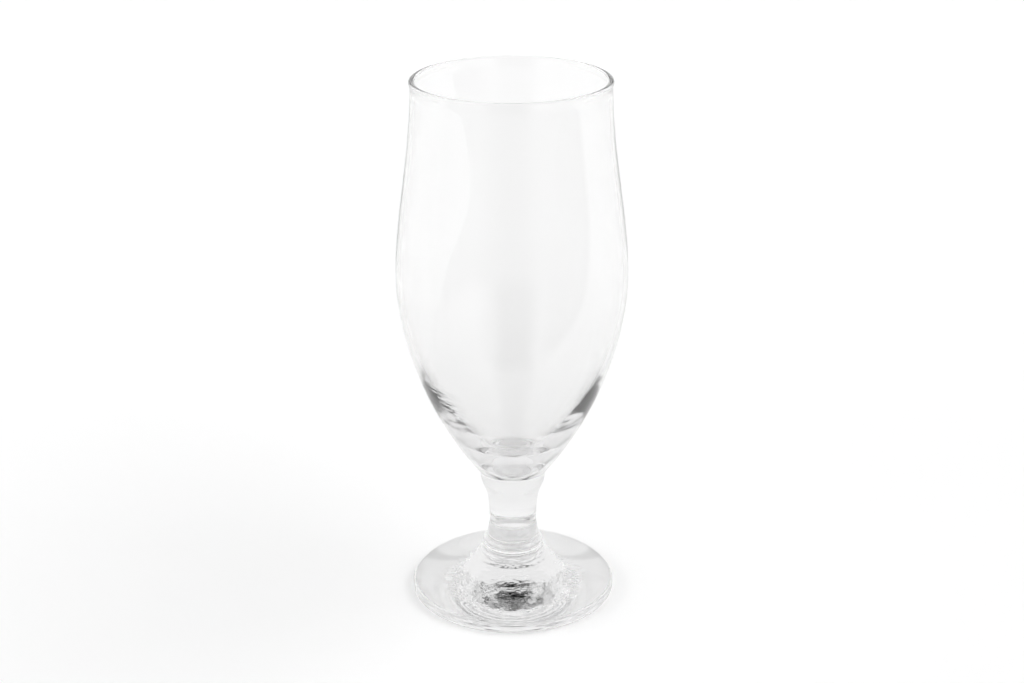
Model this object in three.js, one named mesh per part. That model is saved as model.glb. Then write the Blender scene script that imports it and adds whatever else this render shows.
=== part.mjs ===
// Stemmed beer glass: a pressed foot, a drawn stem and a blown bowl, all turned about the +Z axis.
// Sizes are in millimetres. The glass stands on z = 0.
import * as THREE from "three";

// Bowl, outside
const totalHeight = 180;
const cornerRadius = 11.2; // where the outlines of the bowl and the stem would meet
const bowlSpread = 39; // degrees that the bowl leans out from that corner
const bowlSpreadPull = 15;
const bellyHeight = 114.8;
const bellyRadius = 37.97;
const bellyPullDown = 29;
const bellyPullUp = 20;
const lipRadius = 32;
const lipPull = 22;

// Bowl, inside
const floorThickness = 2.5; // over the fused face, with the whole stem under it
const floorPull = 9;
const bellyWall = 1.7;
const lipWall = 1.4;
const insidePullDown = 37;

// Rim bead: the fire-polished edge, a little thicker than the wall under it
const beadThickness = 2;
const beadDrop = 1; // height over which the wall swells into the bead

// Stem
const stemLength = 19.5;
const waistRadius = 8.05; // where the stem meets the foot
const stemTopPull = 4.4;
const stemTopLean = 5; // degrees that the stem leans in just under the bowl
const waistPull = 14;

// Seam: the corner between the bowl and the stem is rounded off, half of it on each
const seamRounding = 2; // how far the rounding reaches from the corner on either side
const seamPull = seamRounding / 3;
const seamLean = (bowlSpread + stemTopLean) / 2;

// Groove: the fused joint between the stem and the foot is drawn in a little, half of it on each
const grooveDepth = 0.3;
const grooveHalfHeight = 0.35;

// Foot
const footHeight = 25;
const collarHeight = 4; // short band under the stem
const collarGrowth = 0.6;
const shoulderDrop = 4;
const shoulderGrowth = 1.6;
const flarePullDown = 5;
const flarePullIn = 14;
const topSlope = 15; // degrees that the top of the foot rises from its edge
const footRadius = 34.85;
const edgeTopRounding = 1.8;
const edgeUpright = 0.4; // straight part of the edge between its two roundings
const edgeBottomRounding = 1.2;
const contactWidth = 1; // flat ring that the glass stands on
const recessHeight = 0.2;
const recessPullOut = 20;
const recessPullIn = 6;

const seamHeight = footHeight + stemLength;

const sidesAround = 60;
const stepsOnCurve = 12;
const stepsOnRounding = 6;

const radians = THREE.MathUtils.degToRad;
const at = (radius, height) => new THREE.Vector2(radius, height);

// A point moved from another one by a distance.
// Its direction is measured from straight up, towards the outside.
function moved(point, distance, degreesFromUp) {
  return at(
    point.x + distance * Math.sin(radians(degreesFromUp)),
    point.y + distance * Math.cos(radians(degreesFromUp)),
  );
}

const curve = (start, startPull, endPull, end, steps = stepsOnCurve) =>
  new THREE.CubicBezierCurve(start, startPull, endPull, end).getPoints(steps);

function rounding(centre, radius, fromDegrees, toDegrees) {
  const points = [];
  for (let step = 0; step <= stepsOnRounding; step += 1) {
    const angle = radians(THREE.MathUtils.lerp(fromDegrees, toDegrees, step / stepsOnRounding));
    points.push(at(centre.x + radius * Math.cos(angle), centre.y + radius * Math.sin(angle)));
  }
  return points;
}

// Points that follow each other with no distance between them are kept once.
function joined(...runs) {
  return runs.flat().filter((point, index, all) => index === 0 || point.distanceTo(all[index - 1]) > 1e-6);
}

// The outline runs from the axis under the piece, up its outside and back to the axis.
function turned(name, outline, finish) {
  const geometry = new THREE.LatheGeometry(outline, sidesAround);
  geometry.rotateX(Math.PI / 2);
  const mesh = new THREE.Mesh(geometry, new THREE.MeshStandardMaterial(finish));
  mesh.name = name;
  return mesh;
}

const seamCorner = at(cornerRadius, seamHeight);
const seamTop = moved(seamCorner, seamRounding, bowlSpread);
const seamBottom = moved(seamCorner, -seamRounding, stemTopLean);
const seamEdge = at((seamTop.x + 2 * seamCorner.x + seamBottom.x) / 4, seamHeight);

const clearGlass = { color: 0xeef2f2, roughness: 0.02, metalness: 0 };

function bowl() {
  const belly = at(bellyRadius, bellyHeight);
  const beadRadius = beadThickness / 2;
  const beadCentre = at(lipRadius - lipWall / 2, totalHeight - beadRadius);
  const lip = at(lipRadius, beadCentre.y - beadDrop);
  const insideLip = at(lipRadius - lipWall, lip.y);
  const insideBelly = at(bellyRadius - bellyWall, bellyHeight);
  const floor = at(0, seamHeight + floorThickness);
  const pulled = (point, rise) => at(point.x, point.y + rise);
  const outside = joined(
    curve(
      seamEdge,
      moved(seamEdge, seamPull, seamLean),
      moved(seamTop, -seamPull, bowlSpread),
      seamTop,
      stepsOnRounding,
    ),
    curve(seamTop, moved(seamTop, bowlSpreadPull, bowlSpread), pulled(belly, -bellyPullDown), belly),
    curve(belly, pulled(belly, bellyPullUp), pulled(lip, -lipPull), lip),
  );
  const inside = joined(
    curve(insideLip, pulled(insideLip, -lipPull), pulled(insideBelly, bellyPullUp), insideBelly),
    curve(insideBelly, pulled(insideBelly, -insidePullDown), at(floorPull, floor.y), floor),
  );
  const outline = joined([at(0, seamHeight)], outside, rounding(beadCentre, beadRadius, 0, 180), inside);
  return turned("bowl", outline, clearGlass);
}

function stem() {
  const joint = at(waistRadius - grooveDepth, footHeight);
  const bottom = at(waistRadius, footHeight + grooveHalfHeight);
  const side = joined(
    curve(
      bottom,
      at(waistRadius, footHeight + waistPull),
      moved(seamBottom, -stemTopPull, stemTopLean),
      seamBottom,
    ),
    curve(
      seamBottom,
      moved(seamBottom, seamPull, stemTopLean),
      moved(seamEdge, -seamPull, seamLean),
      seamEdge,
      stepsOnRounding,
    ),
  );
  return turned("stem", joined([at(0, footHeight), joint], side, [at(0, seamHeight)]), clearGlass);
}

function foot() {
  const joint = at(waistRadius - grooveDepth, footHeight);
  const collarTop = at(waistRadius, footHeight - grooveHalfHeight);
  const collarBottom = at(waistRadius + collarGrowth, footHeight - collarHeight);
  const shoulder = at(collarBottom.x + shoulderGrowth, collarBottom.y - shoulderDrop);
  const topRoundingCentre = at(footRadius - edgeTopRounding, edgeBottomRounding + edgeUpright);
  const bottomRoundingCentre = at(footRadius - edgeBottomRounding, edgeBottomRounding);
  const topRounding = rounding(topRoundingCentre, edgeTopRounding, 0, 90 - topSlope);
  const flareEnd = topRounding.at(-1);
  const ringEdge = at(bottomRoundingCentre.x - contactWidth, 0);
  const outline = joined(
    curve(at(0, recessHeight), at(recessPullOut, recessHeight), at(ringEdge.x - recessPullIn, 0), ringEdge),
    rounding(bottomRoundingCentre, edgeBottomRounding, -90, 0),
    topRounding,
    curve(
      flareEnd,
      moved(flareEnd, -flarePullIn, 90 + topSlope),
      at(shoulder.x, shoulder.y - flarePullDown),
      shoulder,
    ),
    curve(
      shoulder,
      at(shoulder.x, shoulder.y + shoulderDrop / 2),
      at(collarBottom.x, collarBottom.y - shoulderDrop / 2),
      collarBottom,
      stepsOnRounding,
    ),
    [collarTop, joint, at(0, footHeight)],
  );
  return turned("foot", outline, clearGlass);
}

const glass = new THREE.Group();
glass.name = "stemmed_beer_glass";
glass.add(bowl(), stem(), foot());

export default glass;
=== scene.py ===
"""A stemmed beer glass on a white table: bowl, stem and foot are turned, and dressed as clear glass."""

import logging
import math
from dataclasses import dataclass
from enum import Enum
from typing import Optional, Union

import bpy
from mathutils import Euler, Matrix, Vector
from mathutils.geometry import interpolate_bezier


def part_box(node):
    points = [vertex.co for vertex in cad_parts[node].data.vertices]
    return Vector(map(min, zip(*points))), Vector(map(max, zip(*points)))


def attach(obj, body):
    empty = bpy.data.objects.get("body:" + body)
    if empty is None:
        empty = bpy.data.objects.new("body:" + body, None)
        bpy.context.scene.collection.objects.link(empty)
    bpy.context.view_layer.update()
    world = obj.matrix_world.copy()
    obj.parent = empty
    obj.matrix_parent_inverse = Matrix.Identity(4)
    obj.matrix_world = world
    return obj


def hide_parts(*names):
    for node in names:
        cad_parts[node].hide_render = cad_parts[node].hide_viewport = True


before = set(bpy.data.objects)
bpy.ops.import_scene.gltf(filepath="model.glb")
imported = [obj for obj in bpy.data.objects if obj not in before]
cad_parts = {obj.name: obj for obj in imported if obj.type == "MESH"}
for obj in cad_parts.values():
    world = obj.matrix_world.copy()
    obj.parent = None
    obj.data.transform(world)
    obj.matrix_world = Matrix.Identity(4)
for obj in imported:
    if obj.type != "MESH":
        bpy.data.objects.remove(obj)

log = logging.getLogger("beer_glass")

MM = 0.001  # sizes are written in millimetres, and the scene is in metres
SIDES = 240  # faces round a turned piece
SAME_PLACE = 1e-4 * MM  # what is nearer than this is in the same place
FULL_TURN = 360.0  # degrees
SMOOTH_UNDER = 35  # degrees between two faces that are shaded as one surface
LEVEL = 0.9999  # how steeply a face's normal stands where the face is level, 1 being upright

Point = tuple[float, float]  # distance from the axis and height, in millimetres
Place = tuple[float, float, float]  # a place in the scene, in metres
Socket = bpy.types.NodeSocket


class Surface(Enum):
    """How a piece was made. The value is how many times less high than wide its faint marks are."""

    BLOWN = 0.35
    DRAWN = 0.12
    PRESSED = 1.0


class Sum:
    """A shader socket on which Python's arithmetic adds Math nodes."""

    def __init__(self, graph: "Graph", socket: Socket) -> None:
        """Wraps a socket.

        Args:
            graph: The node graph that the socket is in.
            socket: An output socket that gives a number.
        """
        self.graph = graph
        self.socket = socket

    def __add__(self, other: "Number") -> "Sum":
        """Adds."""
        return self.graph.math("ADD", self, other)

    def __sub__(self, other: "Number") -> "Sum":
        """Subtracts."""
        return self.graph.math("SUBTRACT", self, other)

    def __rsub__(self, other: "Number") -> "Sum":
        """Subtracts from a number."""
        return self.graph.math("SUBTRACT", other, self)

    def __mul__(self, other: "Number") -> "Sum":
        """Multiplies."""
        return self.graph.math("MULTIPLY", self, other)

    __radd__ = __add__
    __rmul__ = __mul__

    def __abs__(self) -> "Sum":
        """Takes the sign away."""
        return self.graph.math("ABSOLUTE", self)


Number = Union[Sum, float]
Link = Union[Sum, Socket, float, tuple]


class Graph:
    """The nodes of a material or of the world."""

    def __init__(self, owner: Union[bpy.types.Material, bpy.types.World]) -> None:
        """Empties the owner's node tree and keeps it.

        Args:
            owner: The material or world to which the nodes belong.
        """
        owner.use_nodes = True
        self.tree = owner.node_tree
        self.tree.nodes.clear()

    def node(self, kind: str, settings: Optional[dict] = None, **sockets: Link) -> bpy.types.Node:
        """Adds a node.

        Args:
            kind: The node's type.
            settings: Properties of the node, set before its sockets.
            sockets: What each input gets, by its name with _ for a space, or in_0, in_1 by its place.

        Returns:
            The new node.
        """
        node = self.tree.nodes.new(kind)
        for name, value in (settings or {}).items():
            setattr(node, name, value)
        for name, value in sockets.items():
            key = int(name.removeprefix("in_")) if name.startswith("in_") else name.replace("_", " ")
            self.feed(node.inputs[key], value)
        return node

    def feed(self, target: Socket, value: Link) -> None:
        """Links a socket to an input, or sets the input's own value.

        Args:
            target: The input socket.
            value: A socket, a sum, a number or a colour.
        """
        source = value.socket if isinstance(value, Sum) else value
        if isinstance(source, Socket):
            self.tree.links.new(source, target)
        else:
            target.default_value = source

    def math(self, operation: str, *values: Number) -> Sum:
        """Adds a Math node.

        Args:
            operation: What the node does.
            values: Its one to three inputs.

        Returns:
            The result.
        """
        inputs = {f"in_{place}": value for place, value in enumerate(values)}
        return Sum(self, self.node("ShaderNodeMath", {"operation": operation}, **inputs).outputs[0])

    def ease(self, value: Number, start: float, end: float) -> Sum:
        """Goes smoothly from 0 at the start to 1 at the end.

        Args:
            value: The number that moves from start to end.
            start: Where the result is still 0.
            end: Where the result has become 1.

        Returns:
            The eased number.
        """
        settings = {"interpolation_type": "SMOOTHSTEP"}
        eased = self.node("ShaderNodeMapRange", settings, Value=value, From_Min=start, From_Max=end)
        return Sum(self, eased.outputs["Result"])

    def band(self, value: Sum, start: float, end: float, soft: float) -> Sum:
        """Tells whether a number is in a band with soft edges.

        Args:
            value: The number.
            start: The middle of the band's lower edge.
            end: The middle of its upper edge.
            soft: How far an edge reaches on either side of its middle.

        Returns:
            1 within the band and 0 outside it.
        """
        rises = self.ease(value, start - soft, start + soft)
        return rises * (1 - self.ease(value, end - soft, end + soft))

    @staticmethod
    def blend(base: Number, over: Number, share: Sum) -> Sum:
        """Goes from one number to another.

        Args:
            base: The result where the share is 0.
            over: The result where the share is 1.
            share: How far the result has gone.

        Returns:
            The number between them.
        """
        return base + share * (over - base)

    def axes(self, vector: Socket) -> tuple[Sum, Sum, Sum]:
        """Takes a vector apart.

        Args:
            vector: The output socket that gives the vector.

        Returns:
            Its X, Y and Z.
        """
        parts = self.node("ShaderNodeSeparateXYZ", Vector=vector).outputs
        return Sum(self, parts["X"]), Sum(self, parts["Y"]), Sum(self, parts["Z"])


def grey(level: float) -> tuple[float, float, float, float]:
    """Gives a colour without a hue, 0 for black and 1 for white."""
    return level, level, level, 1


class Outline:
    """The half section of a turned piece, drawn as runs that follow each other in the XZ plane."""

    def __init__(self, name: str) -> None:
        """Starts from a curve that has nothing drawn on it.

        Args:
            name: The name of the piece that the outline becomes.
        """
        bpy.ops.object.select_all(action="DESELECT")
        bpy.ops.curve.primitive_bezier_curve_add(location=(0, 0, 0))
        self.piece = bpy.context.object
        self.piece.name = name
        self.drawing = self.piece.data
        self.drawing.splines.clear()

    @staticmethod
    def spot(point: Point) -> Vector:
        """Gives a point of the outline its place in the scene."""
        return Vector((point[0], 0, point[1])) * MM

    def line(self, *points: Point) -> None:
        """Draws straight lines.

        Args:
            points: The points that the lines join.
        """
        run = self.drawing.splines.new("POLY")
        run.points.add(len(points) - 1)
        for corner, point in zip(run.points, points):
            corner.co = (*self.spot(point), 1)

    def bend(self, start: Point, start_pull: Point, end_pull: Point, end: Point, steps: int) -> None:
        """Draws a Bezier curve.

        Args:
            start: Where it starts.
            start_pull: The handle that it leaves the start by.
            end_pull: The handle that it reaches the end by.
            end: Where it ends.
            steps: Into how many straight pieces it is cut.
        """
        run = self.drawing.splines.new("BEZIER")
        run.bezier_points.add(1)
        run.resolution_u = steps
        first, last = run.bezier_points
        for knot, place, pull in ((first, start, start_pull), (last, end, end_pull)):
            knot.handle_left_type = knot.handle_right_type = "FREE"
            knot.co = self.spot(place)
            knot.handle_left = knot.handle_right = self.spot(pull)

    def turn(self) -> bpy.types.Object:
        """Turns the outline round the axis into a closed piece with its faces outwards.

        Returns:
            The turned piece.
        """
        bpy.ops.object.convert(target="MESH")
        bpy.ops.object.mode_set(mode="EDIT")
        bpy.ops.mesh.select_all(action="SELECT")
        bpy.ops.mesh.spin(steps=SIDES, angle=math.tau, center=(0, 0, 0), axis=(0, 0, 1))
        bpy.ops.mesh.select_all(action="SELECT")
        bpy.ops.mesh.remove_doubles(threshold=SAME_PLACE)
        bpy.ops.mesh.normals_make_consistent(inside=False)
        bpy.ops.object.mode_set(mode="OBJECT")
        bpy.ops.object.shade_smooth_by_angle(angle=math.radians(SMOOTH_UNDER))
        return self.piece


def leaning(start: Point, distance: float, degrees: float) -> Point:
    """Moves a point in a direction that is measured from straight up, towards the outside.

    Args:
        start: The point to start from, in millimetres.
        distance: How far to go, in millimetres.
        degrees: The lean of the way, 0 for up and 90 for outwards.

    Returns:
        The moved point.
    """
    lean = math.radians(degrees)
    return start[0] + distance * math.sin(lean), start[1] + distance * math.cos(lean)


def raised(point: Point, rise: float) -> Point:
    """Moves a point straight up, or down with a negative rise."""
    return point[0], point[1] + rise


def rounding(outline: Outline, centre: Point, radius: float, start: float, end: float) -> None:
    """Draws an arc of a quarter circle or less.

    Args:
        outline: The outline that gets the arc.
        centre: The middle of the circle, in millimetres.
        radius: Its radius, in millimetres.
        start: The angle at which the arc starts, in degrees from the outward direction.
        end: The angle at which it ends.
    """
    first, last = math.radians(start), math.radians(end)
    pull = 4 / 3 * math.tan((last - first) / 4)  # handles of this length keep a Bezier curve on a circle

    def on_circle(angle: float, along: float) -> Point:
        """Gives a point on the circle, moved along the circle's tangent there."""
        return (
            centre[0] + radius * (math.cos(angle) - along * math.sin(angle)),
            centre[1] + radius * (math.sin(angle) + along * math.cos(angle)),
        )

    handles = on_circle(first, pull), on_circle(last, -pull)
    outline.bend(on_circle(first, 0), *handles, on_circle(last, 0), steps=10)


@dataclass(frozen=True)
class Seam:
    """The fused corner between bowl and stem, which is rounded off on both. Sizes are in millimetres."""

    height: float
    corner_radius: float = 11.2
    reach: float = 2  # how far the rounding goes from the corner on either side
    bowl_spread: float = 39  # degrees that the bowl leans out above the corner
    stem_lean: float = 5  # degrees that the stem leans out below it

    @property
    def corner(self) -> Point:
        """Where the outlines of bowl and stem would meet."""
        return self.corner_radius, self.height

    @property
    def above(self) -> Point:
        """Where the rounding ends on the bowl."""
        return leaning(self.corner, self.reach, self.bowl_spread)

    @property
    def below(self) -> Point:
        """Where the rounding starts on the stem."""
        return leaning(self.corner, -self.reach, self.stem_lean)

    @property
    def edge(self) -> Point:
        """The edge of the fused face, half way along the rounding."""
        return (self.above[0] + 2 * self.corner_radius + self.below[0]) / 4, self.height

    @property
    def edge_lean(self) -> float:
        """The lean of the side at the edge of the fused face, in degrees."""
        return (self.bowl_spread + self.stem_lean) / 2

    def bend_up(self, outline: Outline, start: Point, start_lean: float, end: Point, end_lean: float) -> None:
        """Draws one half of the rounding, upwards.

        Args:
            outline: The outline that gets it.
            start: Where it starts.
            start_lean: The lean of the side there, in degrees.
            end: Where it ends.
            end_lean: The lean of the side there.
        """
        pull = self.reach / 3
        outline.bend(start, leaning(start, pull, start_lean), leaning(end, -pull, end_lean), end, steps=8)

    def round_bowl(self, outline: Outline) -> None:
        """Draws the half of the rounding that is on the bowl."""
        self.bend_up(outline, self.edge, self.edge_lean, self.above, self.bowl_spread)

    def round_stem(self, outline: Outline) -> None:
        """Draws the half of the rounding that is on the stem."""
        self.bend_up(outline, self.below, self.stem_lean, self.edge, self.edge_lean)


@dataclass(frozen=True)
class Groove:
    """The fused joint of stem and foot, which is drawn in a little on both. Sizes are in millimetres."""

    height: float
    waist_radius: float = 8.05  # of stem and foot beside the groove
    depth: float = 0.3
    half_height: float = 0.35

    @property
    def edge(self) -> Point:
        """The edge of the fused face, at the bottom of the groove."""
        return self.waist_radius - self.depth, self.height

    @property
    def above(self) -> Point:
        """Where the groove ends on the stem."""
        return self.waist_radius, self.height + self.half_height

    @property
    def below(self) -> Point:
        """Where the groove ends on the foot."""
        return self.waist_radius, self.height - self.half_height


@dataclass(frozen=True)
class Ripples:
    """Soft rings that pressing leaves on a surface. Sizes are in millimetres."""

    height: float
    length: float
    starts: float  # the share of the curve that stays smooth

    def along(self, start: Point, start_pull: Point, end_pull: Point, end: Point, steps: int) -> list[Point]:
        """Lays the ripples on the last part of a Bezier curve, fading at both ends of that part.

        Args:
            start: Where the curve starts.
            start_pull: The handle that it leaves the start by.
            end_pull: The handle that it reaches the end by.
            end: Where it ends.
            steps: Into how many straight pieces it is cut.

        Returns:
            The points of the rippled curve.
        """
        knots = [Vector((*point, 0)) for point in (start, start_pull, end_pull, end)]
        places = interpolate_bezier(*knots, steps + 1)
        points = [(places[0].x, places[0].y)]
        way = 0.0
        for before, here, after in zip(places, places[1:], places[2:]):
            way += (here - before).length
            aside = (after - before).normalized().cross(Vector((0, 0, 1)))
            share = max(len(points) / steps - self.starts, 0) / (1 - self.starts)
            rise = self.height * math.sin(math.pi * share) * math.sin(math.tau * way / self.length)
            points.append((here.x + aside.x * rise, here.y + aside.y * rise))
        return points + [end]


@dataclass(frozen=True)
class Marks:
    """Uneven spots that making leaves in one part of a glass surface. Sizes are in millimetres."""

    size: float
    height: float
    flatter: float = 1  # how many times less high than wide the spots are
    low: float = -1  # the heights between which they are found
    high: float = 200
    left_of: float = 200  # how far to the right they reach
    within: float = 200  # how far from the axis they reach
    edge: float = 3  # over what distance they fade out

    def relief(self, graph: Graph, place: Socket) -> Sum:
        """Draws the marks.

        Args:
            graph: The graph that gets the nodes.
            place: Where on the piece the surface is.

        Returns:
            How far the surface is raised, in millimetres.
        """
        laid = graph.node("ShaderNodeMapping", Vector=place, Scale=(1, 1, self.flatter)).outputs["Vector"]
        noise = graph.node("ShaderNodeTexNoise", Vector=laid, Scale=1 / (self.size * MM), Detail=2.0)
        across, _, up = graph.axes(place)
        flat = graph.node("ShaderNodeVectorMath", {"operation": "MULTIPLY"}, in_0=place, in_1=(1, 1, 0))
        far = graph.node("ShaderNodeVectorMath", {"operation": "LENGTH"}, in_0=flat.outputs[0])
        from_axis = Sum(graph, far.outputs["Value"])
        found = (
            graph.ease(up, (self.low - self.edge) * MM, self.low * MM)
            * (1 - graph.ease(up, self.high * MM, (self.high + self.edge) * MM))
            * (1 - graph.ease(across, self.left_of * MM, (self.left_of + self.edge) * MM))
            * (1 - graph.ease(from_axis, self.within * MM, (self.within + self.edge) * MM))
        )
        return Sum(graph, noise.outputs["Fac"]) * self.height * found


@dataclass(frozen=True)
class Tint:
    """The share of light that a surface of the glass lets through, which can change with the height."""

    low: float
    high: float
    starts: float = 0  # up to this height, in millimetres, it is the low one
    ends: float = 1  # from this height on, in millimetres, it is the high one

    def colour(self, graph: Graph, place: Socket) -> Link:
        """Draws the tint, with no nodes where it is the same all over.

        Args:
            graph: The graph that gets the nodes.
            place: Where on the piece the surface is.

        Returns:
            The colour of the glass there.
        """
        if self.low == self.high:
            return grey(self.low)
        risen = graph.ease(graph.axes(place)[2], self.starts * MM, self.ends * MM)
        shade = graph.blend(self.low, self.high, risen)
        return graph.node("ShaderNodeCombineColor", in_0=shade, in_1=shade, in_2=shade).outputs[0]


@dataclass(frozen=True)
class ClearGlass:
    """Clear soda-lime glass, with the marks that its making left on it. Sizes are in millimetres."""

    name: str
    surface: Surface
    tint: Tint
    spots: Optional[Marks] = None  # a part that is less even than the rest
    fine_size: float = 9  # of the faint marks all over
    fine_height: float = 0.01
    polish_size: float = 27  # of the spots that are polished less than the rest
    roughest: float = 0.015  # how rough they are
    bend_of_light: float = 1.52
    lamp_share: float = 0.93  # the share of a lamp's light that each surface lets on to the table

    def material(self) -> bpy.types.Material:
        """Makes the glass's material.

        Returns:
            The material.
        """
        glass = bpy.data.materials.new(self.name)
        graph = Graph(glass)
        place = graph.node("ShaderNodeTexCoord").outputs["Object"]
        relief = Marks(self.fine_size, self.fine_height, self.surface.value).relief(graph, place)
        if self.spots:
            relief = relief + self.spots.relief(graph, place)
        bump = graph.node("ShaderNodeBump", Height=relief, Distance=MM)
        body = graph.node(
            "ShaderNodeBsdfPrincipled",
            Base_Color=self.tint.colour(graph, place),
            Roughness=self.roughness(graph, place),
            IOR=self.bend_of_light,
            Transmission_Weight=1.0,
            Normal=bump.outputs["Normal"],
        ).outputs[0]
        for_lamps = graph.node("ShaderNodeBsdfTransparent", Color=grey(self.lamp_share)).outputs[0]
        by_lamp = graph.node("ShaderNodeLightPath").outputs["Is Shadow Ray"]
        both = graph.node("ShaderNodeMixShader", in_0=by_lamp, in_1=body, in_2=for_lamps)
        graph.node("ShaderNodeOutputMaterial", Surface=both.outputs[0])
        return glass

    def roughness(self, graph: Graph, place: Socket) -> Sum:
        """Draws the spots that are polished less than the rest.

        Args:
            graph: The graph that gets the nodes.
            place: Where on the piece the surface is.

        Returns:
            The roughness there.
        """
        smooth_at, rough_at = 0.3, 0.9  # the noise mostly stays between these
        laid = graph.node("ShaderNodeMapping", Vector=place, Scale=(1, 1, self.surface.value))
        polish = graph.node(
            "ShaderNodeTexNoise", Vector=laid.outputs["Vector"], Scale=1 / (self.polish_size * MM)
        )
        return graph.ease(Sum(graph, polish.outputs["Fac"]), smooth_at, rough_at) * self.roughest


@dataclass(frozen=True)
class FusedJoint:
    """A face where two pieces of glass are fused: light goes straight on through it."""

    name: str

    def material(self) -> bpy.types.Material:
        """Makes the joint's material.

        Returns:
            The material.
        """
        joint = bpy.data.materials.new(self.name)
        graph = Graph(joint)
        through = graph.node("ShaderNodeBsdfTransparent", Color=grey(1))
        graph.node("ShaderNodeOutputMaterial", Surface=through.outputs[0])
        return joint


def dress_as(node: str, piece: bpy.types.Object, glass: ClearGlass, joints: list[float]) -> None:
    """Gives a turned piece its glass and its fused faces, and puts it in its node's place.

    Args:
        node: The node that the piece stands for.
        piece: The turned piece.
        glass: The finish of its surface.
        joints: The heights of its fused faces, in millimetres.
    """
    piece.data.materials.append(glass.material())
    piece.data.materials.append(FusedJoint(f"{glass.name}_joint").material())
    for face in piece.data.polygons:
        level = abs(face.normal.z) > LEVEL
        fused = any(abs(face.center.z - height * MM) < SAME_PLACE for height in joints)
        face.material_index = int(level and fused)
    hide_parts(node)
    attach(piece, "root")
    corners = [Vector(corner) for corner in piece.bound_box]
    lowest, highest = corners[0], corners[6]
    low, high = (Vector(corner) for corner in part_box(node))
    over = max((lowest - low).length, (highest - high).length) / MM
    faces = len(piece.data.polygons)
    log.info("%s: %d faces, corners within %.2f mm of its node's", piece.name, faces, over)


@dataclass
class Bowl:
    """The blown bowl, with a fire-polished bead round its rim. Sizes are in millimetres."""

    seam: Seam
    total_height: float = 180
    spread_pull: float = 15
    belly_height: float = 114.8
    belly_radius: float = 37.97
    belly_pull_down: float = 29
    belly_pull_up: float = 20
    lip_radius: float = 32
    lip_pull: float = 22
    floor_thickness: float = 2.5  # over the fused face
    floor_pull: float = 9
    belly_wall: float = 1.7
    lip_wall: float = 1.4
    inside_pull_down: float = 37
    bead_thickness: float = 2
    bead_drop: float = 1  # height over which the wall swells into the bead
    glass: ClearGlass = ClearGlass(
        "bowl_glass",
        Surface.BLOWN,
        Tint(low=0.91, high=0.985, starts=50, ends=125),
        spots=Marks(size=8, height=0.08, flatter=3, low=50, high=82, left_of=-18),
    )

    def build(self) -> bpy.types.Object:
        """Turns the bowl.

        Returns:
            The bowl.
        """
        belly = self.belly_radius, self.belly_height
        bead = self.bead_thickness / 2
        bead_centre = self.lip_radius - self.lip_wall / 2, self.total_height - bead
        lip = self.lip_radius, bead_centre[1] - self.bead_drop
        inner_lip = self.lip_radius - self.lip_wall, lip[1]
        inner_belly = self.belly_radius - self.belly_wall, self.belly_height
        floor = 0, self.seam.height + self.floor_thickness
        outline = Outline("bowl_clear")
        outline.line((0, self.seam.height), self.seam.edge)
        self.seam.round_bowl(outline)
        spread_pull = leaning(self.seam.above, self.spread_pull, self.seam.bowl_spread)
        outline.bend(self.seam.above, spread_pull, raised(belly, -self.belly_pull_down), belly, steps=40)
        outline.bend(belly, raised(belly, self.belly_pull_up), raised(lip, -self.lip_pull), lip, steps=24)
        outline.line(lip, (bead_centre[0] + bead, bead_centre[1]))
        rounding(outline, bead_centre, bead, 0, 90)
        rounding(outline, bead_centre, bead, 90, 180)
        outline.line((bead_centre[0] - bead, bead_centre[1]), inner_lip)
        pull_up = raised(inner_belly, self.belly_pull_up)
        pull_down = raised(inner_belly, -self.inside_pull_down)
        outline.bend(inner_lip, raised(inner_lip, -self.lip_pull), pull_up, inner_belly, steps=24)
        outline.bend(inner_belly, pull_down, (self.floor_pull, floor[1]), floor, steps=48)
        return outline.turn()

    def dress(self, piece: bpy.types.Object) -> None:
        """Gives the bowl its glass."""
        dress_as("bowl", piece, self.glass, [self.seam.height])


@dataclass
class Stem:
    """The drawn stem, fused to bowl and foot. Sizes are in millimetres."""

    groove: Groove
    seam: Seam
    top_pull: float = 4.4
    waist_pull: float = 14
    glass: ClearGlass = ClearGlass("stem_glass", Surface.DRAWN, Tint(low=0.88, high=0.88))

    def build(self) -> bpy.types.Object:
        """Turns the stem.

        Returns:
            The stem.
        """
        groove = self.groove
        outline = Outline("stem_clear")
        outline.line((0, groove.height), groove.edge, groove.above)
        waist_pull = groove.waist_radius, groove.height + self.waist_pull
        top_pull = leaning(self.seam.below, -self.top_pull, self.seam.stem_lean)
        outline.bend(groove.above, waist_pull, top_pull, self.seam.below, steps=30)
        self.seam.round_stem(outline)
        outline.line(self.seam.edge, (0, self.seam.height))
        return outline.turn()

    def dress(self, piece: bpy.types.Object) -> None:
        """Gives the stem its glass."""
        dress_as("stem", piece, self.glass, [self.groove.height, self.seam.height])


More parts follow.
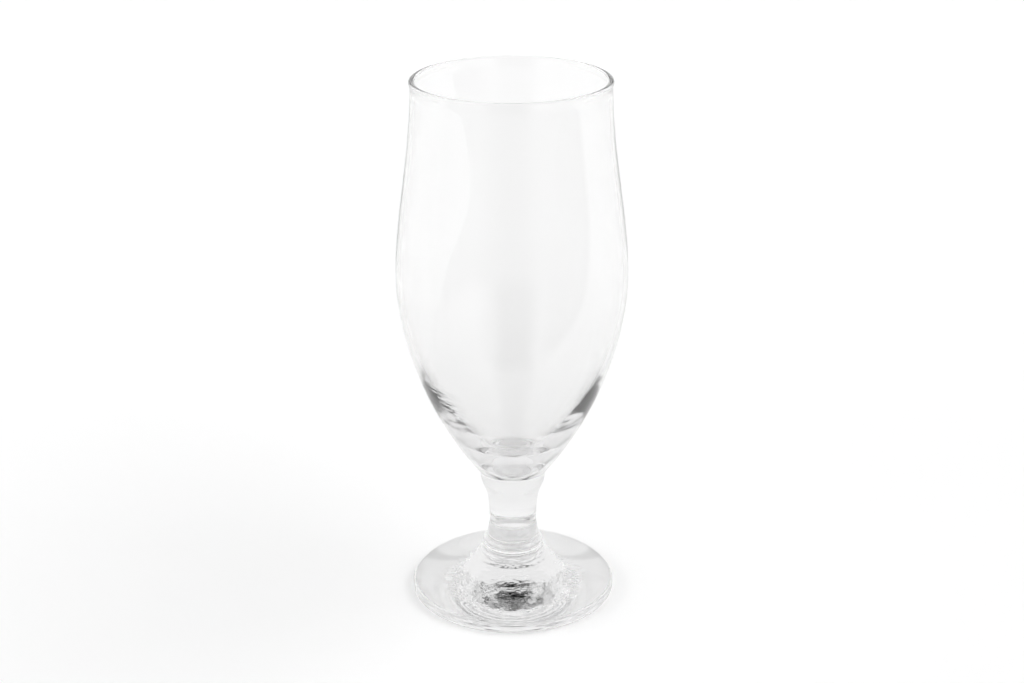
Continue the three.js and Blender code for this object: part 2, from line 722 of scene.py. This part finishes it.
@dataclass
class Foot:
    """The pressed foot, with a collar, soft rings and a shallow recess. Sizes are in millimetres."""

    groove: Groove
    collar_height: float = 4  # short band under the stem
    collar_growth: float = 0.6
    shoulder_drop: float = 4
    shoulder_growth: float = 1.6
    flare_pull_down: float = 5
    flare_pull_in: float = 14
    top_slope: float = 15  # degrees that the top of the foot rises from its edge
    foot_radius: float = 34.85
    edge_top_rounding: float = 1.8
    edge_upright: float = 0.4  # straight part of the edge between its two roundings
    edge_bottom_rounding: float = 1.2
    contact_width: float = 1  # flat ring that the glass stands on
    recess_height: float = 0.2
    recess_pull_out: float = 20
    recess_pull_in: float = 6
    rings: Ripples = Ripples(height=0.05, length=2.3, starts=0.5)
    glass: ClearGlass = ClearGlass(
        "foot_glass",
        Surface.PRESSED,
        Tint(low=1, high=0.96, starts=3, ends=12),
        spots=Marks(size=1.8, height=0.09, high=1, within=22),
        lamp_share=0.86,
    )

    def build(self) -> bpy.types.Object:
        """Turns the foot.

        Returns:
            The foot.
        """
        groove = self.groove
        collar_foot = groove.waist_radius + self.collar_growth, groove.height - self.collar_height
        shoulder = collar_foot[0] + self.shoulder_growth, collar_foot[1] - self.shoulder_drop
        top_centre = self.foot_radius - self.edge_top_rounding, self.edge_bottom_rounding + self.edge_upright
        bottom_centre = self.foot_radius - self.edge_bottom_rounding, self.edge_bottom_rounding
        flare_end = leaning(top_centre, self.edge_top_rounding, self.top_slope)
        ring_edge = bottom_centre[0] - self.contact_width, 0
        middle = 0, self.recess_height
        outline = Outline("foot_clear")
        recess_pulls = (self.recess_pull_out, middle[1]), (ring_edge[0] - self.recess_pull_in, 0)
        outline.bend(middle, *recess_pulls, ring_edge, steps=40)
        outline.line(ring_edge, (bottom_centre[0], 0))
        rounding(outline, bottom_centre, self.edge_bottom_rounding, -90, 0)
        outline.line((self.foot_radius, bottom_centre[1]), (self.foot_radius, top_centre[1]))
        rounding(outline, top_centre, self.edge_top_rounding, 0, 90 - self.top_slope)
        flare_pull = leaning(flare_end, -self.flare_pull_in, 90 + self.top_slope)
        shoulder_pull = raised(shoulder, -self.flare_pull_down)
        outline.line(*self.rings.along(flare_end, flare_pull, shoulder_pull, shoulder, steps=160))
        half = self.shoulder_drop / 2
        outline.bend(shoulder, raised(shoulder, half), raised(collar_foot, -half), collar_foot, steps=16)
        outline.line(collar_foot, groove.below, groove.edge, (0, groove.height))
        return outline.turn()

    def dress(self, piece: bpy.types.Object) -> None:
        """Gives the foot its glass."""
        dress_as("foot", piece, self.glass, [self.groove.height])


@dataclass(frozen=True)
class SideLamp:
    """A large soft lamp beside the table, which lights the table and isn't mirrored in the glass."""

    side: int  # 1 for the right and -1 for the left
    strength: float
    low: float  # the heights that it fills, in degrees over the horizon
    high: float
    edge: float = 5  # how soft its lower and upper edges are, in degrees

    def glow(self, graph: Graph, right: Sum, height: Sum) -> Sum:
        """Draws the lamp.

        Args:
            graph: The world's graph.
            right: How far to the right a direction points, from -1 to 1.
            height: Its height over the horizon, in degrees.

        Returns:
            The strength of the lamp's light from that direction.
        """
        starts, full = 0.3, 0.8  # how far to the lamp's side a direction points
        beside = graph.ease(right * self.side, starts, full)
        return beside * graph.band(height, self.low, self.high, self.edge) * self.strength


@dataclass(frozen=True)
class Tent:
    """What the glass mirrors. Strengths run from 0 for black to 1 for white, and angles are in degrees."""

    walls: float = 0.9
    low_right_dim: float = 0.5  # how much darker it is on the right, below the horizon
    roof: float = 0.0
    roof_starts: float = 46
    soft_edge: float = 10  # of the roof and of the opening's sides
    horizon_edge: float = 3
    opening: float = 0.0  # the dark opening in front of the glass, on the camera's side
    opening_floor: float = 0.45  # its part below the horizon
    opening_at: float = 185  # from straight behind the glass, clockwise from above
    opening_half_width: float = 43
    low_half_width: float = 24  # it is narrower below a height
    low_below: float = 32
    gap: float = 0.1  # the dark band behind the glass, between the table and the wall
    gap_from: float = 9
    gap_to: float = 14
    gap_edge: float = 1.5
    gap_half_width: float = 25
    side_edge: float = 5  # of the gap's sides, and of the height where the opening narrows

    def glow(self, graph: Graph, right: Sum, height: Sum, turn: Sum) -> Sum:
        """Draws the tent.

        Args:
            graph: The world's graph.
            right: How far to the right a direction points, from -1 to 1.
            height: Its height over the horizon, in degrees.
            turn: Its turn from straight behind the glass, clockwise from above, in degrees.

        Returns:
            The strength of the light from that direction.
        """
        starts, full = 0.1, 0.7  # how far to the right a direction points where it dims
        below_horizon = 1 - graph.ease(height, -self.horizon_edge, self.horizon_edge)
        dim = below_horizon * graph.ease(right, starts, full) * self.low_right_dim
        under_roof = graph.ease(height, self.roof_starts, self.roof_starts + self.soft_edge)
        glow = graph.blend(self.walls, self.roof, under_roof) - dim
        narrow = 1 - graph.ease(height, self.low_below - self.side_edge, self.low_below + self.side_edge)
        half_width = graph.blend(self.opening_half_width, self.low_half_width, narrow)
        aside = abs(graph.math("WRAP", turn, FULL_TURN, 0.0) - self.opening_at)
        in_front = 1 - graph.ease(aside - half_width, -self.soft_edge, self.soft_edge)
        opening = graph.blend(self.opening, self.opening_floor, below_horizon)
        glow = graph.blend(glow, graph.math("MINIMUM", opening, glow), in_front)
        sides = self.gap_half_width - self.side_edge, self.gap_half_width + self.side_edge
        behind = 1 - graph.ease(abs(turn), *sides)
        in_gap = behind * graph.band(height, self.gap_from, self.gap_to, self.gap_edge)
        return graph.blend(glow, self.gap, in_gap)


@dataclass
class Studio:
    """The white table, the light round it and the camera."""

    table_side: float = 3.0  # metres to the left, to the right and behind the glass
    table_front: float = 0.12  # metres in front of it
    air_gap: float = 0.05 * MM  # between the table and the ring that the glass stands on
    table_white: float = 0.9
    table_lift: float = 0.05  # white that only sight adds to the table, so that it shows as pure white
    wall_white: float = 1.0  # of the wall round the table, as seen straight or through the glass
    even_light: float = 0.5  # the strength of the light that reaches the table from all round
    right_lamp: SideLamp = SideLamp(side=1, strength=3.3, low=25, high=55)
    left_lamp: SideLamp = SideLamp(side=-1, strength=4.5, low=8, high=30)
    tent: Tent = Tent()
    bounces: int = 96  # light runs down inside the wall of the glass as in a fibre
    lens: float = 61.30  # millimetres, for a picture 36 mm wide
    camera_place: Place = (0, -0.53607, 0.30902)
    look_down: float = 22.119  # degrees
    roll: float = -0.22  # degrees
    frame_width: int = 1024
    shift_pixels: float = -0.228
    nearest_seen: float = 0.01  # metres

    def lay_table(self) -> None:
        """Lays the table top that the glass stands on."""
        bpy.ops.object.select_all(action="DESELECT")
        deep = self.table_side + self.table_front
        middle = (self.table_side - self.table_front) / 2
        bpy.ops.mesh.primitive_plane_add(size=1, location=(0, middle, -self.air_gap))
        table = bpy.context.object
        table.name = "table"
        table.scale = (2 * self.table_side, deep, 1)
        bpy.ops.object.transform_apply(location=True, rotation=True, scale=True)
        white = bpy.data.materials.new("table_white")
        graph = Graph(white)
        lit = graph.node("ShaderNodeBsdfDiffuse", Color=grey(self.table_white))
        lift = graph.node("ShaderNodeEmission", Strength=self.sight(graph) * self.table_lift)
        both = graph.node("ShaderNodeAddShader", in_0=lit.outputs[0], in_1=lift.outputs[0])
        graph.node("ShaderNodeOutputMaterial", Surface=both.outputs[0])
        table.data.materials.append(white)
        log.info("table: %.1f by %.1f m", 2 * self.table_side, deep)

    @staticmethod
    def sight(graph: Graph) -> Sum:
        """Tells the rays by which something is seen: straight, mirrored or through the glass.

        Args:
            graph: The graph that gets the nodes.

        Returns:
            1 for such rays and 0 for the rest.
        """
        path = graph.node("ShaderNodeLightPath").outputs
        straight, mirrored, through = (
            Sum(graph, path[name]) for name in ("Is Camera Ray", "Is Glossy Ray", "Is Transmission Ray")
        )
        return graph.math("MINIMUM", straight + mirrored + through, 1.0)

    def light(self) -> None:
        """Lights the table with the lamps and gives the glass the tent to mirror, in plain white light."""
        world = bpy.data.worlds.new("tent")
        bpy.context.scene.world = world
        graph = Graph(world)
        right, ahead, up = graph.axes(graph.node("ShaderNodeTexCoord").outputs["Generated"])
        height = graph.math("ARCSINE", up) * math.degrees(1)
        turn = graph.math("ARCTAN2", right, ahead) * math.degrees(1)
        path = graph.node("ShaderNodeLightPath").outputs
        none_yet = 0.5  # a ray that has bounced so has a depth over this
        mirrored = graph.math("GREATER_THAN", Sum(graph, path["Glossy Depth"]), none_yet)
        on_table = graph.math("GREATER_THAN", Sum(graph, path["Diffuse Depth"]), none_yet)
        lamps = (lamp.glow(graph, right, height) for lamp in (self.right_lamp, self.left_lamp))
        glow = graph.blend(self.wall_white, self.tent.glow(graph, right, height, turn), mirrored)
        glow = graph.blend(glow, sum(lamps, self.even_light), on_table)
        background = graph.node("ShaderNodeBackground", Color=grey(1), Strength=glow)
        graph.node("ShaderNodeOutputWorld", Surface=background.outputs[0])
        cycles = bpy.context.scene.cycles
        cycles.max_bounces = cycles.transmission_bounces = cycles.glossy_bounces = self.bounces
        cycles.transparent_max_bounces = self.bounces

    def place_camera(self) -> None:
        """Puts the camera where the photograph was taken from."""
        bpy.ops.object.camera_add()
        camera = bpy.context.object
        tilt = Euler((math.radians(90 - self.look_down), 0, 0)).to_matrix().to_4x4()
        lean = Matrix.Rotation(math.radians(self.roll), 4, "Z")
        camera.matrix_world = Matrix.Translation(self.camera_place) @ tilt @ lean
        camera.data.lens = self.lens
        camera.data.clip_start = self.nearest_seen
        camera.data.shift_x = self.shift_pixels / self.frame_width
        bpy.context.scene.camera = camera


def main() -> None:
    """Builds and dresses the glass, and sets the table, the light and the camera."""
    logging.basicConfig(level=logging.INFO, format="%(name)s: %(message)s")
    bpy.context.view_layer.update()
    groove = Groove(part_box("foot")[1].z / MM)
    seam = Seam(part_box("stem")[1].z / MM)
    for part in (Foot(groove), Stem(groove, seam), Bowl(seam)):
        part.dress(part.build())
    studio = Studio()
    studio.lay_table()
    studio.light()
    studio.place_camera()
    bpy.context.scene.view_settings.view_transform = "Standard"


if __name__ == "__main__":
    main()
